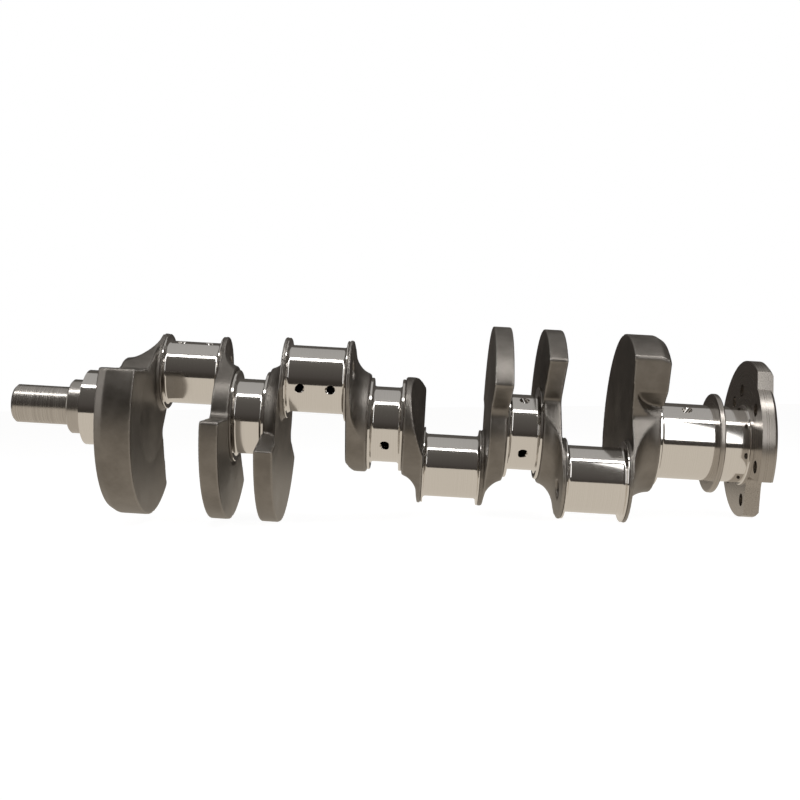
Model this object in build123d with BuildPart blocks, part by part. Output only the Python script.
"""Forged cross-plane crankshaft for a 90 degree V8, five main journals and four crankpins.

X runs along the crank axis from the snout (-X) to the flywheel flange (+X). The origin is on the
axis at the middle of the centre main journal. Angles are degrees about +X, counted from +Y
towards +Z. The forging is divided at its machined shoulders, and where each counterweight meets
its cheek, so every section is its own solid. These divisions are not seams of the real forging.
"""
from build123d import *
from math import cos, radians, sin
import os

os.makedirs("parts", exist_ok=True)

# Journals, from the engine's bore spacing, stroke and bearing sizes
bore_spacing = 111.76
stroke = 95.25
main_radius = 31.1
pin_radius = 26.67
inner_main_width = 23.5
front_main_width = 27.6
rear_main_width = 44.6
crankpin_width = 45.6
journal_fillet = 2.5

# Ground thrust rings at the journal ends
main_ring_margin = 6.9
main_ring_depth = 2.6
pin_ring_margin = 5.6
pin_ring_depth = 1.6
ring_chamfer = 0.5

# Webs: hub round the main journal, cheek round the crankpin, counterweight opposite
inner_hub_margin = 2.3
end_hub_margin = 5.0
cheek_margin = 6.3
pin_boss_margin = 5.9
cheek_bite = 5.6
end_web_extra = 9.7
counterweight_radius = 86.0
hub_pin_inset = 4.6
rim_main_inset = 1.8
rim_pin_inset = 4.6
end_rim_main_inset = -0.4
end_rim_pin_inset = 1.8
end_rim_bevel_length = 7.0
end_rim_bevel_depth = 4.0
concave_blend = 8.0
blend_share = 0.8
rim_corner_radius = 2.5

# Scoop that thins each cheek on its main journal side: a shelf at the hub, a round, a steep flank
scoop_tip_thickness = 3.7
scoop_round = 16.0
scoop_lean = 3.6
end_scoop_round = 22.0
end_scoop_lean = 4.2
scoop_clearance = 0.4
scoop_round_share = 0.95
plain_scoop_half_span = 90.0

# Slope that thins the plain centre webs opposite their crankpins
slope_start = 6.0
slope_depth = 14.0

# Lightening hole through each crankpin, on the side away from the crank axis
lightening_radius = 7.0
lightening_offset = 12.0

# Oil drillings from the main journals to the crankpins
oil_hole_radius = 3.0
oil_mouth_radius = 4.1
oil_mouth_depth = 1.4
oil_hole_spread = 12.0
main_oil_angle = -103.0
pin_oil_angle = 62.0
oil_overrun = 6.0

# Front end
seat_radius = 22.5
seat_length = 13.2
seat_chamfer = 1.0
snout_radius = 15.81
snout_length = 48.0
snout_chamfer = 2.0
keyway_width = 4.76
keyway_depth = 2.4
gear_keyway_length = 9.5
damper_keyway_length = 28.0
nose_thread_radius = 5.14
nose_thread_depth = 42.0
nose_centre_radius = 7.5
nose_centre_depth = 3.0

# Rear end
slinger_radius = 40.8
slinger_thickness = 4.7
slinger_round = 1.2
seal_radius = 31.1
seal_length = 21.0
seal_step_margin = 1.9
seal_step_length = 1.8
seal_step_chamfer = 0.8
flange_radius = 69.5
flange_waist_radius = 59.0
flange_thickness = 12.5
flange_chamfer = 2.4
flange_angle = 50.0
flange_heavy_span = 140.0
flange_shoulder_span = 158.0
notch_apex_radius = 31.0
notch_opening = 90.0
notch_round = 10.0
bolt_circle_radius = 45.465
bolt_hole_radius = 5.14
bolt_count = 6
dowel_radius = 4.76
dowel_press_step = 0.2
dowel_engagement = 9.5
dowel_stand_out = 9.0
dowel_chamfer = 0.8
pilot_bore_radius = 13.9
pilot_bore_depth = 22.0
pilot_lead_in = 1.2

# Places that follow from the sizes above
throw = stroke / 2
main_ring_radius = main_radius + main_ring_margin
inner_hub_radius = main_ring_radius + inner_hub_margin
end_hub_radius = main_ring_radius + end_hub_margin
seal_step_radius = seal_radius + seal_step_margin
pin_ring_radius = pin_radius + pin_ring_margin
cheek_radius = pin_radius + cheek_margin
half_inner_main = inner_main_width / 2
half_pin = crankpin_width / 2
inner_web_thickness = bore_spacing / 2 - half_inner_main - half_pin
end_web_thickness = inner_web_thickness + end_web_extra
pin_centres = [bore_spacing * (index - 1.5) for index in range(4)]
pin_angles = [45.0, 135.0, -45.0, 225.0]
front_main_face = pin_centres[0] - half_pin - end_web_thickness
rear_main_face = pin_centres[3] + half_pin + end_web_thickness
seat_start = front_main_face - front_main_width
snout_start = seat_start - seat_length
slinger_start = rear_main_face + rear_main_width
seal_start = slinger_start + slinger_thickness
flange_start = seal_start + seal_length + seal_step_length
flange_end = flange_start + flange_thickness
dowel_shank_radius = dowel_radius + dowel_press_step


def radial(angle, radius=1.0):
    """A point at this angle and radius round the crank axis, in the plane X = 0."""
    return Vector(0, radius * cos(radians(angle)), radius * sin(radians(angle)))


def on_plane(angle, radius):
    """The same point as the two coordinates of a sketch on Plane.YZ."""
    return (radius * cos(radians(angle)), radius * sin(radians(angle)))


def cross_section(x):
    """A sketch plane square to the crank axis, looking from the flywheel end."""
    return Plane.YZ.offset(x)


def drill(start, end, radius):
    """A plain drilled hole between two points."""
    with BuildPart() as tool:
        with BuildSketch(Plane(origin=start, z_dir=end - start)):
            Circle(radius)
        extrude(amount=(end - start).length)
    return tool.part


def oil_mouth(centre, outward):
    """The countersink where an oil drilling breaks out of a journal."""
    normal = outward.normalized()
    seat = centre - normal * oil_mouth_depth
    with BuildPart() as tool:
        with BuildSketch(Plane(origin=seat, z_dir=normal)):
            Circle(oil_hole_radius * 0.8)
        with BuildSketch(Plane(origin=centre + normal * oil_mouth_depth, z_dir=normal)):
            Circle(oil_mouth_radius * 2 - oil_hole_radius * 0.8)
        loft()
    return tool.part


def oil_drilling(pin_number, main_x):
    """One straight drilling from a main journal to its crankpin, with both mouths."""
    pin_angle = pin_angles[pin_number]
    pin_x = pin_centres[pin_number]
    toward_main = 1 if main_x > pin_x else -1
    pin_axis = radial(pin_angle, throw)
    main_side = radial(pin_angle + main_oil_angle)
    pin_side = radial(pin_angle + pin_oil_angle)
    main_mouth = main_side * main_radius + Vector(main_x, 0, 0)
    pin_mouth = pin_axis + pin_side * pin_radius + Vector(pin_x + toward_main * oil_hole_spread, 0, 0)
    run = (pin_mouth - main_mouth).normalized()
    bore = drill(main_mouth - run * oil_overrun, pin_mouth + run * oil_overrun, oil_hole_radius)
    return [bore, oil_mouth(main_mouth, main_side), oil_mouth(pin_mouth, pin_side)]


# Each crankpin is fed from the main journal on either side of it
front_oil_x = (seat_start + front_main_face) / 2
rear_oil_x = (rear_main_face + slinger_start) / 2
main_oil_x = [front_oil_x, -bore_spacing, 0.0, bore_spacing, rear_oil_x]
drillings = {}
for pin_number in range(4):
    for main_number in (pin_number, pin_number + 1):
        drillings[(pin_number, main_number)] = oil_drilling(pin_number, main_oil_x[main_number])


def save(part, name):
    """Labels a finished piece and writes its file."""
    part.label = name
    export_step(part, f"parts/{name}.step")


def journal(axis_angle, axis_radius, start, end, radius):
    """A plain ground cylinder along X, on an axis at this angle and distance from the crank axis."""
    with BuildSketch(cross_section(start)) as disc:
        with Locations(on_plane(axis_angle, axis_radius)):
            Circle(radius)
    extrude(disc.sketch, amount=end - start)


def thrust_ring(axis_point, face, toward_web, radius, ring_radius, depth):
    """The ground ring at a journal's end, with the fillet that leads up to it from the journal."""
    back = face + toward_web * depth
    lip = toward_web * ring_chamfer
    foot = face - toward_web * journal_fillet
    plane = Plane(origin=axis_point, x_dir=(1, 0, 0), z_dir=(0, 0, 1))
    with BuildPart() as ring:
        with BuildSketch(plane):
            with BuildLine():
                Polyline((foot, radius), (foot, 0), (back, 0), (back, ring_radius - ring_chamfer),
                         (back - lip, ring_radius), (face + lip, ring_radius),
                         (face, ring_radius - ring_chamfer), (face, radius + journal_fillet))
                RadiusArc((face, radius + journal_fillet), (foot, radius), toward_web * journal_fillet)
            make_face()
        revolve(axis=Axis(axis_point, (1, 0, 0)))
    return ring.part


# Main journals. A webbed end stops short of its face by the fillet, which is on the thrust ring
main_spans = [(seat_start, front_main_face - journal_fillet)]
for main_x in main_oil_x[1:4]:
    half_ground = half_inner_main - journal_fillet
    main_spans.append((main_x - half_ground, main_x + half_ground))
main_spans.append((rear_main_face + journal_fillet, slinger_start))
for number, (start, end) in enumerate(main_spans):
    with BuildPart() as main_journal:
        journal(0, 0, start, end, main_radius)
        for (pin_number, main_number), tools in drillings.items():
            if main_number == number:
                add(tools[0], mode=Mode.SUBTRACT)
                add(tools[1], mode=Mode.SUBTRACT)
    save(main_journal.part, f"main_journal_{number + 1}")

# Main thrust rings, each named for its journal and the side it is on
main_ring_places = [(0, front_main_face, 1)]
for number in (1, 2, 3):
    main_ring_places.append((number, main_oil_x[number] - half_inner_main, -1))
    main_ring_places.append((number, main_oil_x[number] + half_inner_main, 1))
main_ring_places.append((4, rear_main_face, -1))
for number, face, toward_web in main_ring_places:
    side = "rear" if toward_web > 0 else "front"
    with BuildPart() as main_ring:
        add(thrust_ring((0, 0, 0), face, toward_web, main_radius, main_ring_radius, main_ring_depth))
        for (pin_number, main_number), tools in drillings.items():
            if main_number == number and (pin_number == main_number) == (toward_web > 0):
                add(tools[0], mode=Mode.SUBTRACT)
    save(main_ring.part, f"main_{number + 1}_{side}_ring")

# Crankpins and their thrust rings, with the lightening hole and the oil drillings through them
for number, (pin_x, pin_angle) in enumerate(zip(pin_centres, pin_angles)):
    pin_tools = [(main_number, tools) for (pin_number, main_number), tools in drillings.items()
                 if pin_number == number]
    half_ground = half_pin - journal_fillet
    hole_place = on_plane(pin_angle, throw + lightening_offset)
    with BuildPart() as crankpin:
        journal(pin_angle, throw, pin_x - half_ground, pin_x + half_ground, pin_radius)
        with BuildSketch(cross_section(pin_x - half_ground)):
            with Locations(hole_place):
                Circle(lightening_radius)
        extrude(amount=2 * half_ground, mode=Mode.SUBTRACT)
        for main_number, tools in pin_tools:
            add(tools[0], mode=Mode.SUBTRACT)
            add(tools[2], mode=Mode.SUBTRACT)
    save(crankpin.part, f"crankpin_{number + 1}")
    for side, toward_web in (("front", -1), ("rear", 1)):
        face = pin_x + toward_web * half_pin
        low = min(face - toward_web * journal_fillet, face + toward_web * pin_ring_depth)
        with BuildPart() as pin_ring:
            add(thrust_ring(radial(pin_angle, throw), face, toward_web, pin_radius,
                            pin_ring_radius, pin_ring_depth))
            with BuildSketch(cross_section(low)):
                with Locations(hole_place):
                    Circle(lightening_radius)
            extrude(amount=journal_fillet + pin_ring_depth, mode=Mode.SUBTRACT)
            for main_number, tools in pin_tools:
                if (main_number > number) == (toward_web > 0):
                    add(tools[0], mode=Mode.SUBTRACT)
        save(pin_ring.part, f"crankpin_{number + 1}_{side}_ring")


def counterweight_outline(sector):
    """The counterweight's sector: rim arc, and ends that run in to their inner points."""
    first_angle, last_angle = sector["rim"]
    first_inner, last_inner = sector["inner"]
    first_rim = on_plane(first_angle, counterweight_radius)
    last_rim = on_plane(last_angle, counterweight_radius)
    with BuildLine() as outline:
        ThreePointArc(first_rim, on_plane((first_angle + last_angle) / 2, counterweight_radius), last_rim)
        Polyline(last_rim, on_plane(*last_inner), (0, 0), on_plane(*first_inner), first_rim)
    make_face(outline.edges())


def cheek_outline(hub_radius, pin_angle):
    """The hub and the cheek round the crankpin, joined by their common tangents."""
    Circle(hub_radius)
    with Locations(on_plane(pin_angle, throw)):
        Circle(cheek_radius)
    make_hull()


def nearest(corner, points):
    """The distance to the nearest of these points, and that point."""
    distances = [(corner.center() - point.center()).length for point in points]
    closest = min(range(len(points)), key=lambda index: distances[index])
    return distances[closest], points[closest]


def rim_corners(vertices):
    """The counterweight's two outer corners."""
    return [corner for corner in vertices if corner.center().length > counterweight_radius - 0.01]


def meeting_corners(vertices, tangent_points):
    """The corners where the ends of the counterweight meet the cheek."""
    inner = [corner for corner in vertices if corner not in rim_corners(vertices)]
    return [corner for corner in inner if nearest(corner, tangent_points)[0] > 0.01]


def web_places(number):
    """Where a web's faces are along X, which way its crankpin is, and the sizes of its hub and scoop."""
    is_end = number in (0, 7)
    toward_pin = 1 if number % 2 == 0 else -1
    pin_face = pin_centres[number // 2] - toward_pin * half_pin
    thickness = end_web_thickness if is_end else inner_web_thickness
    return {"toward_pin": toward_pin,
            "pin_angle": pin_angles[number // 2],
            "pin_face": pin_face,
            "main_face": pin_face - toward_pin * thickness,
            "thickness": thickness,
            "hub_radius": end_hub_radius if is_end else inner_hub_radius,
            "rim_main_inset": end_rim_main_inset if is_end else rim_main_inset,
            "rim_pin_inset": end_rim_pin_inset if is_end else rim_pin_inset,
            "scoop_round": end_scoop_round if is_end else scoop_round,
            "scoop_lean": end_scoop_lean if is_end else scoop_lean}


def turned_cut(points):
    """A tool turned about the crank axis from a profile of (x, radius) points."""
    with BuildPart() as tool:
        with BuildSketch(Plane.XY):
            with BuildLine():
                Polyline(*points, points[0])
            make_face()
        revolve(axis=Axis((0, 0, 0), (1, 0, 0)))
    return tool.part


def scoop(place, sector):
    """The scoop's tool: its profile turned about the crank axis, past the crankpin's side."""
    first_cut = -plain_scoop_half_span
    last_cut = plain_scoop_half_span
    if sector:
        last_end, first_end = sector["scoop"]
        first_cut = (first_end - place["pin_angle"]) % 360 - 360
        last_cut = (last_end - place["pin_angle"]) % 360
    toward_pin = place["toward_pin"]
    shelf = place["hub_radius"] + scoop_clearance
    tip = (place["thickness"] - scoop_tip_thickness, throw + cheek_radius + cheek_margin)
    beyond = (tip[0], tip[1] + cheek_margin)
    foot = (tip[0] - place["scoop_lean"], shelf)
    round_radius = min(place["scoop_round"], scoop_round_share * (foot[0] + main_ring_depth))
    plane = Plane(origin=(place["main_face"], 0, 0), x_dir=(toward_pin, 0, 0),
                  z_dir=Vector(toward_pin, 0, 0).cross(radial(place["pin_angle"] + first_cut)))
    with BuildPart() as tool:
        with BuildSketch(plane):
            with BuildLine():
                FilletPolyline((-main_ring_depth, shelf), foot, tip, radius=round_radius)
                Polyline(tip, beyond, (-main_ring_depth, beyond[1]), (-main_ring_depth, shelf))
            make_face()
        revolve(axis=Axis((0, 0, 0), (1, 0, 0)), revolution_arc=last_cut - first_cut)
    return tool.part


def web(number, sector):
    """One web: the hub round the main journal and the cheek round the crankpin."""
    place = web_places(number)
    toward_pin = place["toward_pin"]
    pin_angle = place["pin_angle"]
    hub_radius = place["hub_radius"]
    main_back = place["main_face"] + toward_pin * main_ring_depth
    pin_back = place["pin_face"] - toward_pin * pin_ring_depth
    hub_face = place["pin_face"] - toward_pin * (hub_pin_inset if sector else pin_ring_depth)
    with BuildPart() as body:
        with BuildSketch(cross_section(min(main_back, hub_face))):
            cheek_outline(hub_radius, pin_angle)
        extrude(amount=abs(hub_face - main_back))
        if sector:
            with BuildSketch(cross_section(min(hub_face, pin_back))):
                with Locations(on_plane(pin_angle, throw)):
                    Circle(pin_radius + pin_boss_margin)
            extrude(amount=abs(pin_back - hub_face))
        add(scoop(place, sector), mode=Mode.SUBTRACT)

        # Slope on the crankpin side of a plain web, opposite its crankpin
        if not sector:
            with BuildSketch(Plane(origin=(0, 0, 0), x_dir=radial(pin_angle),
                                   z_dir=radial(pin_angle - 90))):
                near = (-slope_start, pin_back)
                far = -hub_radius - slope_start
                with BuildLine():
                    Polyline(near, (far, pin_back - toward_pin * slope_depth), (far, pin_back), near)
                make_face()
            extrude(amount=hub_radius + cheek_radius, both=True, mode=Mode.SUBTRACT)

        # Lightening hole and oil drilling
        with BuildSketch(cross_section(min(place["main_face"], place["pin_face"]))):
            with Locations(on_plane(pin_angle, throw + lightening_offset)):
                Circle(lightening_radius)
        extrude(amount=place["thickness"], mode=Mode.SUBTRACT)
        add(drillings[(number // 2, (number + 1) // 2)][0], mode=Mode.SUBTRACT)
    return body.part


def counterweight(number, sector):
    """The counterweight of one web, blended into the cheek where its ends meet it."""
    place = web_places(number)
    toward_pin = place["toward_pin"]
    rim_start = place["main_face"] + toward_pin * place["rim_main_inset"]
    rim_end = place["pin_face"] - toward_pin * place["rim_pin_inset"]
    with BuildPart() as body:
        with BuildSketch(cross_section(min(rim_start, rim_end))) as plate:
            cheek_outline(place["hub_radius"], place["pin_angle"])
            tangent_points = plate.vertices()
            counterweight_outline(sector)
            for corner in meeting_corners(plate.vertices(), tangent_points):
                room = nearest(corner, tangent_points)[0]
                moved = nearest(corner, plate.vertices())[1]
                fillet(moved, radius=min(concave_blend, blend_share * room))
            fillet(rim_corners(plate.vertices()), radius=rim_corner_radius)
            with BuildSketch(mode=Mode.PRIVATE) as inside:
                cheek_outline(place["hub_radius"], place["pin_angle"])
            add(inside.sketch, mode=Mode.SUBTRACT)
        extrude(amount=abs(rim_end - rim_start))
        add(scoop(place, sector), mode=Mode.SUBTRACT)

        # An end counterweight has a dished face towards the crankpin and a bevel on its outer side
        if number in (0, 7):
            dish_floor = place["pin_face"] - toward_pin * hub_pin_inset
            add(turned_cut([(rim_end, 0), (dish_floor, 0), (dish_floor, place["hub_radius"]),
                            (rim_end, counterweight_radius)]), mode=Mode.SUBTRACT)
            bevel_end = rim_start + toward_pin * end_rim_bevel_length
            beyond_face = rim_start - toward_pin * end_rim_bevel_length
            add(turned_cut([(beyond_face, counterweight_radius - 2 * end_rim_bevel_depth),
                            (bevel_end, counterweight_radius),
                            (beyond_face, counterweight_radius)]), mode=Mode.SUBTRACT)
    return body.part


# Counterweights of webs 1 to 4: the angles of the rim's ends, the (angle, radius) that each end runs
# in to, and the angles between which the counterweight is not scooped
front_sectors = [{"rim": (157.0, 310.0), "scoop": (150.0, 320.0),
                  "inner": ((127.0, end_hub_radius), (336.0, end_hub_radius))},
                 {"rim": (182.0, 317.0), "scoop": (175.0, 324.0),
                  "inner": ((182.0, inner_hub_radius), (317.0, inner_hub_radius))},
                 {"rim": (185.0, 335.0), "scoop": (196.0, 342.0),
                  "inner": ((143.0, throw + cheek_radius - cheek_bite), (335.0, inner_hub_radius))},
                 None]


def half_turn(sector):
    """The same counterweight turned half a turn about the crank axis."""
    if not sector:
        return None
    return {"rim": tuple(angle - 180 for angle in sector["rim"]),
            "scoop": tuple(angle - 180 for angle in sector["scoop"]),
            "inner": tuple((angle - 180, radius) for angle, radius in sector["inner"])}


# The rear half repeats the front half
sectors = front_sectors + [half_turn(sector) for sector in reversed(front_sectors)]
for number, sector in enumerate(sectors):
    save(web(number, sector), f"web_{number + 1}")
    if sector:
        save(counterweight(number, sector), f"counterweight_{number + 1}")


def turned_disc(start, length, radius):
    """A plain turned section of the shaft."""
    with BuildSketch(cross_section(start)) as disc:
        Circle(radius)
    extrude(disc.sketch, amount=length)


def keyway(start, length, shaft_radius):
    """A keyway along the back of the shaft, cut from the part being built."""
    with BuildSketch(cross_section(start)) as slot:
        with Locations((shaft_radius, 0)):
            Rectangle(2 * keyway_depth, keyway_width)
    extrude(slot.sketch, amount=length, mode=Mode.SUBTRACT)


# Timing gear seat
with BuildPart() as timing_gear_seat:
    turned_disc(snout_start, seat_length, seat_radius)
    chamfer(timing_gear_seat.edges().sort_by(Axis.X)[0], length=seat_chamfer)
    keyway(snout_start, gear_keyway_length, seat_radius)
save(timing_gear_seat.part, "timing_gear_seat")

# Snout, with the damper keyway and the threaded hole for the damper bolt
nose_face = snout_start - snout_length
with BuildPart() as snout:
    turned_disc(nose_face, snout_length, snout_radius)
    chamfer(snout.edges().sort_by(Axis.X)[0], length=snout_chamfer)
    keyway(snout_start - damper_keyway_length, damper_keyway_length, snout_radius)
    with BuildSketch(cross_section(nose_face)):
        Circle(nose_thread_radius)
    extrude(amount=nose_thread_depth, mode=Mode.SUBTRACT)
    with BuildSketch(cross_section(nose_face)):
        Circle(nose_centre_radius)
    with BuildSketch(cross_section(nose_face + nose_centre_depth)):
        Circle(nose_thread_radius)
    loft(mode=Mode.SUBTRACT)
save(snout.part, "snout")

# Oil slinger ring behind the rear main journal
with BuildPart() as oil_slinger:
    turned_disc(slinger_start, slinger_thickness, slinger_radius)
    fillet(oil_slinger.edges(), radius=slinger_round)
save(oil_slinger.part, "oil_slinger")

# Rear seal journal, bored in line with the flange
bore_floor = flange_end - pilot_bore_depth
step_start = flange_start - seal_step_length
with BuildPart() as rear_seal_journal:
    turned_disc(seal_start, seal_length, seal_radius)
    with BuildPart(mode=Mode.PRIVATE) as step:
        turned_disc(step_start, seal_step_length, seal_step_radius)
        chamfer(step.edges().sort_by(Axis.X)[0], length=seal_step_chamfer)
    add(step.part)
    with BuildSketch(cross_section(bore_floor)):
        Circle(pilot_bore_radius)
    extrude(amount=pilot_bore_depth, mode=Mode.SUBTRACT)
save(rear_seal_journal.part, "rear_seal_journal")

# Flywheel flange: heavy on one side, notched on the other
with BuildPart() as flywheel_flange:
    with BuildSketch(cross_section(flange_start)) as flange_outline:
        Circle(flange_waist_radius)
        half_heavy = flange_heavy_span / 2
        half_shoulder = flange_shoulder_span / 2
        first_tip = on_plane(flange_angle - half_heavy, flange_radius)
        last_tip = on_plane(flange_angle + half_heavy, flange_radius)
        with BuildLine() as crescent:
            ThreePointArc(first_tip, on_plane(flange_angle, flange_radius), last_tip)
            Polyline(last_tip, on_plane(flange_angle + half_shoulder, flange_waist_radius), (0, 0),
                     on_plane(flange_angle - half_shoulder, flange_waist_radius), first_tip)
        make_face(crescent.edges())
        notch_angle = flange_angle + 180
        apex = Vector(*on_plane(notch_angle, notch_apex_radius))
        first_side = Vector(*on_plane(notch_angle - notch_opening / 2, flange_radius))
        last_side = Vector(*on_plane(notch_angle + notch_opening / 2, flange_radius))
        with BuildLine() as notch:
            Polyline(apex, apex + first_side, apex + first_side + last_side, apex + last_side, apex)
        make_face(notch.edges(), mode=Mode.SUBTRACT)
        fillet(nearest(Vertex(apex.X, apex.Y, 0), flange_outline.vertices())[1], radius=notch_round)
    extrude(amount=flange_thickness)
    rear_face = flywheel_flange.faces().sort_by(Axis.X)[-1]
    rim_arcs = [edge for edge in rear_face.edges().filter_by(GeomType.CIRCLE) if edge.radius > notch_round]
    chamfer(rim_arcs, length=flange_chamfer)
    with BuildSketch(cross_section(flange_start)):
        with PolarLocations(bolt_circle_radius, bolt_count, start_angle=flange_angle + 180 / bolt_count):
            Circle(bolt_hole_radius)
        with Locations(on_plane(flange_angle, bolt_circle_radius)):
            Circle(dowel_shank_radius)
        Circle(pilot_bore_radius)
    extrude(amount=flange_thickness, mode=Mode.SUBTRACT)
    with BuildSketch(cross_section(flange_end - pilot_lead_in)):
        Circle(pilot_bore_radius)
    with BuildSketch(cross_section(flange_end)):
        Circle(pilot_bore_radius + pilot_lead_in)
    loft(mode=Mode.SUBTRACT)
save(flywheel_flange.part, "flywheel_flange")

# Flywheel dowel: a shank pressed into the flange, and a slightly smaller end that stands out
dowel_place = on_plane(flange_angle, bolt_circle_radius)
with BuildPart() as flywheel_dowel:
    with BuildSketch(cross_section(flange_end)):
        with Locations(dowel_place):
            Circle(dowel_radius)
    extrude(amount=dowel_stand_out)
    chamfer(flywheel_dowel.edges().sort_by(Axis.X)[-1], length=dowel_chamfer)
    with BuildSketch(cross_section(flange_end - dowel_engagement)):
        with Locations(dowel_place):
            Circle(dowel_shank_radius)
    extrude(amount=dowel_engagement)
save(flywheel_dowel.part, "flywheel_dowel")
